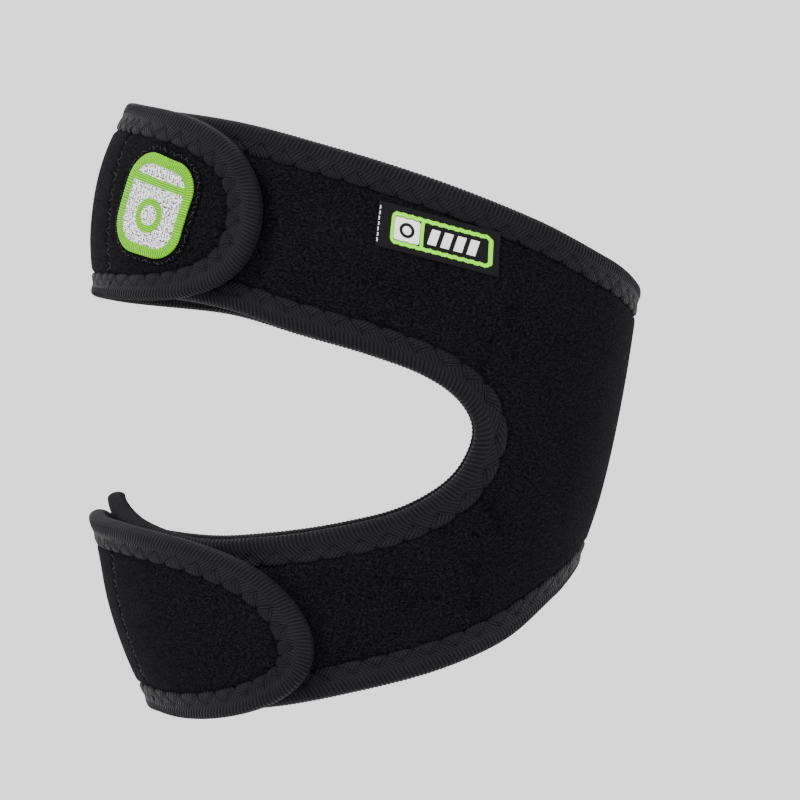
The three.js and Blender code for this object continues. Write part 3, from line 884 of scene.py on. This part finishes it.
# Height of the tape's face over the middle of the cloth, and of its ribs over that
def tapeRise(u, v):
    slope = (tape["stitchFar"] - tape["stitchNear"]) / (tape["stitchPitch"] / 2)
    away = (v - stitchLine(u)) / math.hypot(1, slope)
    pull = tape["pull"] * np.exp(-((away / tape["pullWidth"]) ** 2))
    edge = tapeEdge(u)
    roll = tape["roll"] * np.sin(math.pi * np.clip(v / tape["stitchNear"], 0, 1)) ** 0.8
    beyond = np.clip((v - tape["stitchNear"]) / (edge - tape["stitchNear"]), 0, 1)
    lobe = tape["lobe"] * np.sin(math.pi * beyond)
    fold = 1 - ease((v - tape["foldEnd"]) / tape["foldFade"])
    rib = tape["ribHeight"] * np.cos(2 * math.pi * (u + v * tape["foldLean"]) / tape["ribPitch"]) * fold
    end = tape["endDrop"] * ease(1 - (edge - v) / tape["endReach"])
    return tape["proud"] + roll + lobe - pull - end, rib


# Places along an edge that are evenly spaced along the tape, with a whole number of ribs
def tapeRun(half, edge, start, end):
    dense = np.linspace(start, end, 3000)
    turn, level = edge.place(dense)
    points = liftedPoint(turn, level, half["lift"](turn) + cloth["panel"] / 2, half["side"])
    length = lengthAlong(points)
    count = int(round(length[-1] / tape["ribPitch"])) * tape["stepsPerRib"]
    at = np.linspace(0, length[-1], count + 1)
    return np.interp(at, length, dense), at


# The section goes down the face, round the nose, up the back, and inside along the cloth
def tapePoints(half, edge, s, u):
    edgeInset = tapeEdge(u)[:, None]
    nose = tape["nose"]
    faceInset = nose + (edgeInset - nose) * np.linspace(1, 0, tape["faceSteps"])[None]
    faceRise, faceRib = tapeRise(u[:, None], faceInset)
    angle = np.radians(np.array(tape["noseAngles"]))[None]
    ribs = faceRib[:, -1:]
    noseInset = nose * (1 - np.cos(angle)) - ribs * np.cos(angle)
    noseRise = faceRise[:, -1:] * np.sin(angle) + ribs * np.sin(angle)
    backShare = np.linspace(0, 1, tape["backSteps"])[None]
    backInset = nose + (edgeInset - nose) * backShare
    crown = tape["backCrown"] * np.sin(math.pi * backShare)
    backRise = -tape["backDepth"] - crown - tape["backRibs"] * ribs + 0 * backInset
    hold = cloth["pressed"] / 2 + tape["grip"]
    holdInset = np.hstack([edgeInset, *(inset + 0 * edgeInset for inset in tape["gripInsets"]), edgeInset])
    holdRise = np.array([-hold, -hold, 0, hold, hold])[None] + 0 * holdInset
    insets = np.hstack([faceInset, noseInset, backInset, holdInset])
    rises = np.hstack([faceRise + faceRib, noseRise, backRise, holdRise])
    turn, level = edge.inset(s[:, None], insets)
    middle = half["lift"](edge.place(s)[0])[:, None] + cloth["panel"] / 2
    points = liftedPoint(turn, level, middle + rises, half["side"])
    return points, np.stack([u[:, None] + 0 * insets, insets], -1)


# The section is a channel, so its end is closed by faces between its outer and inner walls
def capFaces(ring, first):
    outer, inner = ring[: tape["wall"]], ring[: tape["wall"] - 1 : -1]
    noseStart, noseSteps = tape["faceSteps"] - 1, len(tape["noseAngles"]) + 1
    stops = (0, noseStart, noseStart + noseSteps // 2, noseStart + noseSteps, tape["wall"] - 1)
    quads = []
    for i, (low, high) in enumerate(zip(stops, stops[1:])):
        for j in range(low, high):
            after = inner[i + 1] if j == high - 1 else inner[i]
            quads.append([outer[j], outer[j + 1], after, inner[i]])
    quads = np.array(quads)
    return quads[:, ::-1] if first else quads


def buildTape(name, runs, node):
    allPoints, allCover, start = [], [], 0.0
    for index, (half, edge, low, high) in enumerate(runs):
        s, u = tapeRun(half, edge, low, high)
        points, cover = tapePoints(half, edge, s, u + start)
        # A run that goes on from another shares its first ring
        allPoints.append(points[min(index, 1) :])
        allCover.append(cover[min(index, 1) :])
        stitchRuns.append((half, edge, s, u + start))
        start += u[-1]
    points, cover = np.concatenate(allPoints), np.concatenate(allCover)
    number = np.arange(points.shape[0] * points.shape[1]).reshape(points.shape[:2])
    faces = np.concatenate([tubeFaces(number), capFaces(number[0], True), capFaces(number[-1], False)])
    piece = makePiece(name, points.reshape(-1, 3), faces, cover.reshape(-1, 2), [tapeCloth])
    dress(piece, "binding_tape", node)


# Stitches that hold the tapes and the tabs

stitch = {
    "radius": 0.16,
    "rings": 6,
    "sides": 5,
    "sink": 0.4,
    "proud": 0.06,
    "seamPitch": 2.1,
    "seamWidth": 2.2,
    "seamRoom": 8.6,  # from the tab's edges to the ends of the seam's stitches
    "seamProud": 0.08,
    "seamBuried": 0.12,
}

endStitch = {
    "radius": 0.14,
    "pitch": 1.1,
    "room": 8.2,  # what the tapes take at both ends of the row
    # distance in from the raw end, and height over the knee, from the lining to the pile
    "path": [
        (2.6, 0.1), (1.6, -0.1), (0.6, -0.12), (-0.16, 0.1), (-0.2, 2), (-0.16, 3.9),
        (0.6, 4.12), (1.6, 4.1), (2.6, 3.9),
    ],
}


# Each line of points becomes a tube of thread that is open at both ends, where it dives under
class Threads:
    def __init__(self, radius, sides=stitch["sides"]):
        self.radius, self.sides = radius, sides
        self.points, self.faces, self.cover, self.count = [], [], [], 0

    # line is one row of points, and outward the way up at each
    def add(self, line, outward):
        aside = unit(np.cross(unit(np.gradient(line, axis=0)), outward))
        angles = np.linspace(0, 2 * math.pi, self.sides, endpoint=False)
        cos, sin = np.cos(angles)[None, :, None], np.sin(angles)[None, :, None]
        rim = aside[:, None] * cos + outward[:, None] * sin
        self.points.append((line[:, None] + rim * self.radius).reshape(-1, 3))
        number = self.count + np.arange(len(line) * self.sides).reshape(len(line), -1)
        self.faces.append(tubeFaces(number))
        cover = np.broadcast_arrays(lengthAlong(line)[:, None], angles[None] / (2 * math.pi))
        self.cover.append(np.stack(cover, -1).reshape(-1, 2))
        self.count += number.size

    # The same for a line of places
    def lay(self, turn, level, height, side):
        line = liftedPoint(turn, level, height, side)
        self.add(line, unit(liftedPoint(turn, level, height + 1, side) - line))

    def build(self, name, material, slot):
        points, cover = np.concatenate(self.points), np.concatenate(self.cover)
        dress(makePiece(name, points, np.concatenate(self.faces), cover, [material]), slot)


# Depth of a stitch along its length: flat on top, and under at both ends
def dive(along, depth, power):
    return depth * (2 * along - 1) ** power


def buildStitches():
    threads = Threads(stitch["radius"])
    along = np.linspace(0.04, 0.96, stitch["rings"])
    sink = dive(along, stitch["sink"], 6)
    pitch = tape["stitchPitch"] / 2
    for half, edge, s, u in stitchRuns:
        fed = wander(u)
        for k in range(math.ceil(fed[0] / pitch), math.floor(fed[-1] / pitch)):
            at = np.interp((k + along) * pitch, fed, u)
            across = stitchLine(at)
            place = np.interp(at, u, s)
            middle = half["lift"](edge.place(place)[0]) + cloth["panel"] / 2
            height = middle + tapeRise(at, across)[0] + stitch["proud"] - sink
            threads.lay(*edge.inset(place, across), height, half["side"])
    threads.build("bindingStitches", blackThread, "binding_tape")


# Flat zigzag over the joint between a far arm and its tab
def buildSeamStitches():
    threads = Threads(stitch["radius"])
    along = np.linspace(0.02, 0.98, stitch["rings"])
    sink = dive(along, stitch["sink"], 6)
    for tab in bothTabs.values():
        reach = tab.halfWidth - stitch["seamRoom"]
        count = int(2 * reach / stitch["seamPitch"]) * 2
        levels = np.linspace(tab.middleLevel + reach, tab.middleLevel - reach, count + 1)
        for k in range(count):
            way = 1 if k % 2 else -1
            width = stitch["seamWidth"] * (1 + 0.25 * math.sin(k * 2.3))
            turn = -closure["seam"] - closure["tabGap"] / 2 + way * (along - 0.5) * width / perDegree
            level = levels[k] + (levels[k + 1] - levels[k]) * along
            outer = clothHeights(turn, level, 0, -1)[1]
            buried = stitch["seamBuried"] + 0.1 * math.sin(k * 1.7)
            threads.lay(turn, level, outer + stitch["seamProud"] - buried - sink, -1)
    threads.build("tabSeamStitches", blackThread, "binding_tape")


# Overlock round the near arms' ends, which lie hidden under the far arms
def buildEndStitches():
    threads = Threads(endStitch["radius"])
    inward, height = np.array(endStitch["path"]).T
    along = np.linspace(0, 1, len(height))
    turn = nearHalf["end"] + inward / perDegree
    for top, bottom in armLevels(nearHalf, nearHalf["end"]):
        high, low = top - endStitch["room"], bottom + endStitch["room"]
        count = int((high - low) / endStitch["pitch"])
        for k in range(count):
            level = high + (low - high) * (k + 0.5 + 0.5 * (along - 0.5)) / count
            line = liftedPoint(turn, level, height, 1)
            centre = liftedPoint(turn + 3, level, cloth["panel"] / 2 + 0 * height, 1)
            threads.add(line, unit(line - centre))
    threads.build("armEndStitches", greyThread, "binding_tape")


# Local x runs towards the back of the near side and y up the leg
def laidPlace(turn, level, x, y):
    around, upward, _ = kneeFrame(np.array(turn), np.array(level))
    vector = unit(around) * x[..., None] + unit(upward) * y[..., None]
    return movedPlace(np.full(x.shape, float(turn)), np.full(x.shape, float(level)), vector)


# A thin piece over a grid of places on the near side, from an outer to an inner height
def laidGrid(name, turn, level, heights, cover, material):
    outer, inner = (liftedPoint(turn, level, height, 1).reshape(-1, 3) for height in heights)
    faces = gridFaces(np.arange(turn.size).reshape(turn.shape))
    return shell(name, outer, inner, faces, cover.reshape(-1, 2), [material])


# The woven label

label = {
    "length": 30.4,
    "height": 11.4,
    "slope": 14.8,
    "turn": 104.9,
    "tapeRoom": 7.8,
    "clearance": 0.8,
    "thickness": 0.42,
    "columns": 120,
    "rows": 44,
    "weftPitch": 0.26,
    "warpPitch": 0.34,
    # Middle along the label, half length, half height and corner
    "frame": (0.9, 12.1, 3.6, 1.2),
    "block": (-7.5, 3.1, 2.9, 0.7),
    "frameLine": 0.48,
    "post": -3.75,
    "postSize": (0.42, 3.45),
    "postBlur": 0.05,
    "bars": (-0.8, 2.4, 5.6, 8.8),
    "barSize": (1.05, 2.0),
    "ring": 1.5,
    "ringLine": 0.4,
    "blur": 0.06,
}

# White stitches down the label's front edge
labelStitch = {
    "radius": 0.17,
    "sides": 6,
    "count": 7,
    "low": -4.7,
    "pitch": 1.36,
    "length": 1.1,
    "proud": 0.62,
}


def labelPlace(x, y):
    middle = label["tapeRoom"] + label["clearance"] + label["height"] / 2
    turn, level = nearHalf["top"].inset(label["turn"], middle)
    return laidPlace(turn, level, x, y - x * math.tan(math.radians(label["slope"])))


def buildLabel():
    halfLength, halfHeight = label["length"] / 2, label["height"] / 2
    x = np.linspace(-halfLength, halfLength, label["columns"])[None]
    y = np.linspace(-halfHeight, halfHeight, label["rows"])[:, None]
    x, y = np.broadcast_arrays(x, y)
    turn, level = labelPlace(x, y)
    edge = np.minimum(halfLength - np.abs(x), halfHeight - np.abs(y))
    wave = 0.05 * np.sin(x * 0.9) * np.cos(y * 0.7)
    base = cloth["panel"] + 0.14 + 0.08 * np.cos(x * 0.35)
    top = base + label["thickness"] * (0.45 + 0.55 * ease(edge / 0.6)) + wave * ease(edge / 1.5)
    piece = laidGrid("sideLabelWeave", turn, level, (top, base), np.stack([x, y], -1), labelSatin)
    dress(piece, "label_weave", "side_label")


def buildLabelStitches():
    threads = Threads(labelStitch["radius"], labelStitch["sides"])
    along = np.linspace(0, 1, 7)
    height = cloth["panel"] + labelStitch["proud"] - dive(along, 0.35, 4)
    for k in range(labelStitch["count"]):
        y = labelStitch["low"] + labelStitch["pitch"] * k + along * labelStitch["length"]
        x = -label["length"] / 2 + 0.35 + 0.12 * np.sin(along * math.pi) + 0.06 * (k % 2)
        threads.lay(*labelPlace(x, y), height, 1)
    threads.build("labelStitches", whiteThread, "label_weave")


def labelMaterial():
    finish = Finish("wovenLabel")
    x, y = finish.onCloth()
    blur = label["blur"]
    jag = ((x * 3.1).sine() + (x * 7.9).sine() * 0.5) * 0.09

    # Distance out from a box with round corners
    def box(middle, halfX, halfY, corner):
        dx = ((x - middle).size() - (halfX - corner)).most(0.0)
        dy = (y.size() - (halfY - corner)).most(0.0)
        return (dx * dx + dy * dy) ** 0.5 - corner + jag

    border = (box(*label["frame"]).size() - label["frameLine"]).inside(blur)
    block = box(*label["block"]).inside(blur)
    post = ((x - label["post"]).size() - label["postSize"][0]).inside(blur)
    post = post * (y.size() - label["postSize"][1]).inside(label["postBlur"])
    lean = x - y * 0.25
    bars = 0.0
    for middle in label["bars"]:
        bars = ((lean - middle).size() - label["barSize"][0]).inside(blur) + bars
    bars = bars.least(1.0) * (y.size() - label["barSize"][1]).inside(blur)
    fromRing = x - label["block"][0]
    ring = ((fromRing * fromRing + y * y) ** 0.5 - label["ring"]).size()
    lime = (border + post).least(1.0)
    white = ((block + bars) * (1 - (ring - label["ringLine"]).inside(blur))).least(1.0)
    weft = y.wave(label["weftPitch"])
    lift = (y * (math.pi / label["weftPitch"])).sine() * 1.2
    warp = (x * (2 * math.pi / label["warpPitch"]) + lift).sine() * 0.5 + 0.5
    worn = finish.noise(finish.here(), 700.0, 3.0)
    # The yarn colours follow the weft rows: painted shade between the rows, painted highlight on them; worn
    # adds random tone to the ground
    ground = finish.mix(weft * 0.5 + worn * 0.5, violetBlack(0.0015), violetBlack(0.006))
    limeYarn = finish.mix(weft, (0.17, 0.8, 0.0, 1), (0.32, 1.0, 0.0, 1))
    whiteYarn = finish.mix(weft, (0.8, 0.8, 0.78, 1), (1.0, 1.0, 0.99, 1))
    colour = finish.mix(lime, finish.mix(white, ground, whiteYarn), limeYarn)
    finish.set(Base_Color=colour, Roughness=0.45 + warp * 0.2, Sheen_Weight=0.01, Specular_IOR_Level=0.1)
    return finish.withRelief(weft * 0.5 + warp * 0.3 + (lime + white).least(1.0) * 1.2, 0.00006)


# The badge

badge = {
    "width": 20.5,
    "height": 22.5,
    "corner": 7,
    "tilt": -14,
    "turn": 15.5,
    "rise": 1,
    "border": 1.7,
    "rim": 2.3,
    "count": 131,
    "overlock": 1.25,
    "backingLift": 0.12,
    "faceLift": 0.72,
    "backingShare": 0.94,  # share of its rectangle that a rounded layer covers
    "faceShare": 0.93,
    "rimYarn": 0.62,
    "fillYarn": 0.5,
    "bandLevel": 5.4,
    "bandHalf": 0.9,
    "ringLevel": -2.2,
    "ringRadius": 3.2,
    "ringHalf": 0.85,
    "blur": 0.15,
}


# Local x and y lie along the badge's sides
def badgePlace(x, y):
    tabTurn, tabLevel = upperTab.middle(badge["turn"] / upperTab.reach)
    tilt = math.radians(badge["tilt"])
    turnedX = x * math.cos(tilt) - y * math.sin(tilt)
    turnedY = x * math.sin(tilt) + y * math.cos(tilt)
    # The tab is on the mirrored half, so its turn runs the other way
    return laidPlace(-tabTurn, tabLevel + badge["rise"], turnedX, turnedY)


def badgeShape(border):
    return badge["width"] / 2 + border, badge["height"] / 2 + border, badge["corner"] + border


# Pulls places on the sides of a rectangle in to its rounded corners
def roundCorners(x, y, halfX, halfY, corner):
    straightX, straightY = halfX - corner, halfY - corner
    overX, overY = np.maximum(np.abs(x) - straightX, 0), np.maximum(np.abs(y) - straightY, 0)
    length = np.maximum(np.hypot(overX, overY), 1e-9)
    pull = np.where((overX > 0) & (overY > 0), corner / length, 1)
    x = np.sign(x) * (np.minimum(np.abs(x), straightX) + overX * pull)
    return x, np.sign(y) * (np.minimum(np.abs(y), straightY) + overY * pull)


# Distance in from that shape, and distance along it from the middle of a side
def roundedPlace(x, y, halfX, halfY, corner):
    straightX, straightY = halfX - corner, halfY - corner
    overX, overY = np.abs(x) - straightX, np.abs(y) - straightY
    outX, outY = np.maximum(overX, 0), np.maximum(overY, 0)
    inset = corner - np.hypot(outX, outY) - np.minimum(np.maximum(overX, overY), 0)
    bend = corner * np.arctan2(outX, np.maximum(outY, 1e-9))
    along = np.minimum(np.abs(x), straightX) + bend + straightY - np.minimum(np.abs(y), straightY)
    return inset, along


# A square grid whose outermost ring lies on that shape
def roundedGrid(shape):
    a, b = np.meshgrid(np.linspace(-1, 1, badge["count"]), np.linspace(-1, 1, badge["count"]))
    share = np.maximum(np.maximum(np.abs(a), np.abs(b)), 1e-9)
    x, y = roundCorners(a / share * shape[0], b / share * shape[1], *shape)
    return x * share**0.85, y * share**0.85


def buildBadgeLayer(name, border, lift, relief, material, slot, node):
    shape = badgeShape(border)
    x, y = roundedGrid(shape)
    inset, along = roundedPlace(x, y, *shape)
    turn, level = badgePlace(x, y)
    bottom = cloth["tabLift"] + cloth["panel"] + lift
    heights = (bottom + relief(x, y, inset, along), bottom)
    piece = laidGrid(name, turn, level, heights, np.stack([x, y], -1), material)
    around = np.stack([along, inset], -1).reshape(-1, 2)
    addCover(piece.data, "around", np.concatenate([around, around]))
    return dress(piece, slot, node)


def motif(x, y):
    reach, blur = (badge["bandHalf"] - badge["blur"], badge["ringHalf"] - badge["blur"]), 2 * badge["blur"]
    band = np.abs(y - badge["bandLevel"]) - reach[0]
    ring = np.abs(np.hypot(x, y - badge["ringLevel"]) - badge["ringRadius"]) - reach[1]
    return np.maximum(ease(1 - band / blur), ease(1 - ring / blur))


def badgeRelief(x, y, inset, along):
    rim = np.clip(inset / badge["rim"], 0, 1)
    bead = np.sqrt(np.maximum(0, np.sin(math.pi * np.clip(rim * 0.92 + 0.04, 0, 1))))
    stitches = 0.05 * np.cos(2 * math.pi * along / badge["rimYarn"]) * (rim < 1)
    ground = 0.34 + 0.16 * motif(x, y)
    return np.where(rim < 1, 0.3 + 0.42 * bead + stitches, ground)


def backingRelief(x, y, inset, along):
    return 0.32 + 0.2 * ease(inset / 0.7) + 0.04 * np.sin(along * 1.3)


def buildBadge():
    border = badge["border"]
    backing = (border, badge["backingLift"], backingRelief, felt, "badge_felt", "badge_backing")
    face = (0, badge["faceLift"], badgeRelief, embroidery, "embroidery", "badge")
    for name, row, share, under in (
        ("badgeBackingFelt", backing, badge["backingShare"], "upperTabCloth"),
        ("badgeEmbroidery", face, badge["faceShare"], "badgeBackingFelt"),
    ):
        piece = buildBadgeLayer(name, *row)


# Grey overlock round the backing
def buildBackingStitches():
    threads = Threads(0.1)
    shape = badgeShape(badge["border"])
    angle = np.linspace(0, 2 * math.pi, 4001)
    reach = 1 / np.maximum(np.abs(np.cos(angle)) / shape[0], np.abs(np.sin(angle)) / shape[1])
    flatX, flatY = roundCorners(reach * np.cos(angle), reach * np.sin(angle), *shape)
    length = lengthAlong(np.stack([flatX, flatY], -1))
    along = np.linspace(0, 1, 6)
    height = cloth["tabLift"] + cloth["panel"] + 0.72 - dive(along, 0.3, 4)
    for k in range(int(length[-1] / badge["overlock"])):
        at = (k + (0.5 if k % 3 else 1.4) * along) * badge["overlock"]
        x, y = np.interp(at, length, flatX), np.interp(at, length, flatY)
        inward = 0.15 + 0.85 * along if k % 2 else 1.0 - 0.9 * along
        kept = 1 - inward / np.hypot(x, y)
        threads.lay(*badgePlace(x * kept, y * kept), height, 1)
    threads.build("backingStitches", greyThread, "badge_felt")


def badgeMaterial():
    finish = Finish("badgeEmbroidery")
    x, y = finish.onCloth()
    along, inset = finish.onCloth("around")
    blur = badge["blur"]
    rim = (inset - badge["rim"]).inside(0.12)
    band = ((y - badge["bandLevel"]).size() - badge["bandHalf"]).inside(blur)
    up = y - badge["ringLevel"]
    ring = (((x * x + up * up) ** 0.5 - badge["ringRadius"]).size() - badge["ringHalf"]).inside(blur)
    lime = (rim + (band + ring) * (1 - rim)).least(1.0)
    wobble = finish.noise(finish.here(), 1500.0, 2.0)
    rimYarn = (along + wobble * 0.35).wave(badge["rimYarn"])
    fillYarn = (y + wobble * 0.3).wave(badge["fillYarn"])
    specks = finish.noise(finish.joined(x + y * 0.35, y * 0.8), 2.3, 1.0, 0.5, 0.3)
    holes = specks.between(0.505, 0.545) * (1 - fillYarn * 0.3)
    yarn = rimYarn * rim + fillYarn * (1 - rim)
    # The yarn colours follow the stitch rows: painted shade between the yarns, painted highlight on them
    limeYarn = finish.mix(yarn, (0.06, 0.24, 0.0, 1), (0.2, 0.66, 0.0, 1))
    whiteYarn = finish.mix(yarn, (0.75, 0.76, 0.75, 1), (1.0, 1.0, 1.0, 1))
    whiteYarn = finish.mix(holes, whiteYarn, (0.03, 0.035, 0.035, 1))
    finish.set(
        Base_Color=finish.mix(lime, whiteYarn, limeYarn),
        Roughness=0.5 - yarn * 0.2,
        Specular_IOR_Level=0.12,
    )
    return finish.withRelief(yarn + lime * 0.4 - holes, 0.00012)


# Hook patches under the tabs

# start and end are shares of the tab's reach, and edge is the distance to the tab's and the arm's edges
hooks = {"start": 0.1, "end": 0.74, "columns": 40, "rows": 30, "edge": 11.3}


def hookHeights(turn, level, squeeze, side):
    under = cloth["panel"] + cloth["hookRoom"] + 0 * turn
    return under, under + cloth["hook"]


def buildHooks(word, tab):
    share = np.linspace(hooks["start"], hooks["end"], hooks["columns"])
    turn, level = tab.middle(share)
    half = tab.halfWidth * tab.widthShare(share) - hooks["edge"]
    high, low = armLevels(nearHalf, -turn)[0 if word == "upper" else 1]
    top = np.minimum(level + half, high - hooks["edge"])
    bottom = np.maximum(level - half, low + hooks["edge"])
    rows = np.linspace(0, 1, hooks["rows"])[None]
    sheet = Sheet()
    sheet.grid(turn[:, None], top[:, None] * (1 - rows) + bottom[:, None] * rows, 0, -1)
    piece = sheet.build(word + "Hooks", hookHeights, [hookTape, hookTape, hookTape])
    dress(piece, "hook_tape", word + "_hook_patch")


pile, tabFace, felt, rawEdge, hookTape = (loopPile(name) for name in piles)
lining = jersey()
tapeCloth = ribbedTape()
blackThread = thread("blackThread", violetBlack(0.0006), violetBlack(0.0045), 0.6)
whiteThread = thread("whiteThread", (0.45, 0.5, 0.5, 1), (0.9, 0.95, 0.93, 1), 0.5)
greyThread = thread("greyThread", violetBlack(0.004), violetBlack(0.03), 0.6)
labelSatin = labelMaterial()
embroidery = badgeMaterial()
print("materials are made")

buildPanel()
print("main panel is made")
for word, tab in bothTabs.items():
    buildTab(word, tab)
for word, tab in bothTabs.items():
    buildHooks(word, tab)
print("tabs are made")

for word in ("top", "bottom"):
    runs = [(nearHalf, nearHalf[word], nearHalf["end"], 180), (farHalf, farHalf[word], 180, farHalf["end"])]
    buildTape(word + "Tape", runs, word + "_binding")
for word, half in (("near", nearHalf), ("far", farHalf)):
    ends = [float(windowAt(half["window"], half["end"], start)) for start in (0, 1)]
    buildTape(word + "WindowTape", [(half, half["window"], *ends)], word + "_window_binding")
for word, tab in bothTabs.items():
    buildTape(word + "TabTape", [(farHalf, tab.edge, 0, 2)], word + "_tab_binding")
buildStitches()
buildSeamStitches()
buildEndStitches()
print("tapes and stitches are made")

buildLabel()
buildLabelStitches()
buildBadge()
buildBackingStitches()
print("label and badge are made")
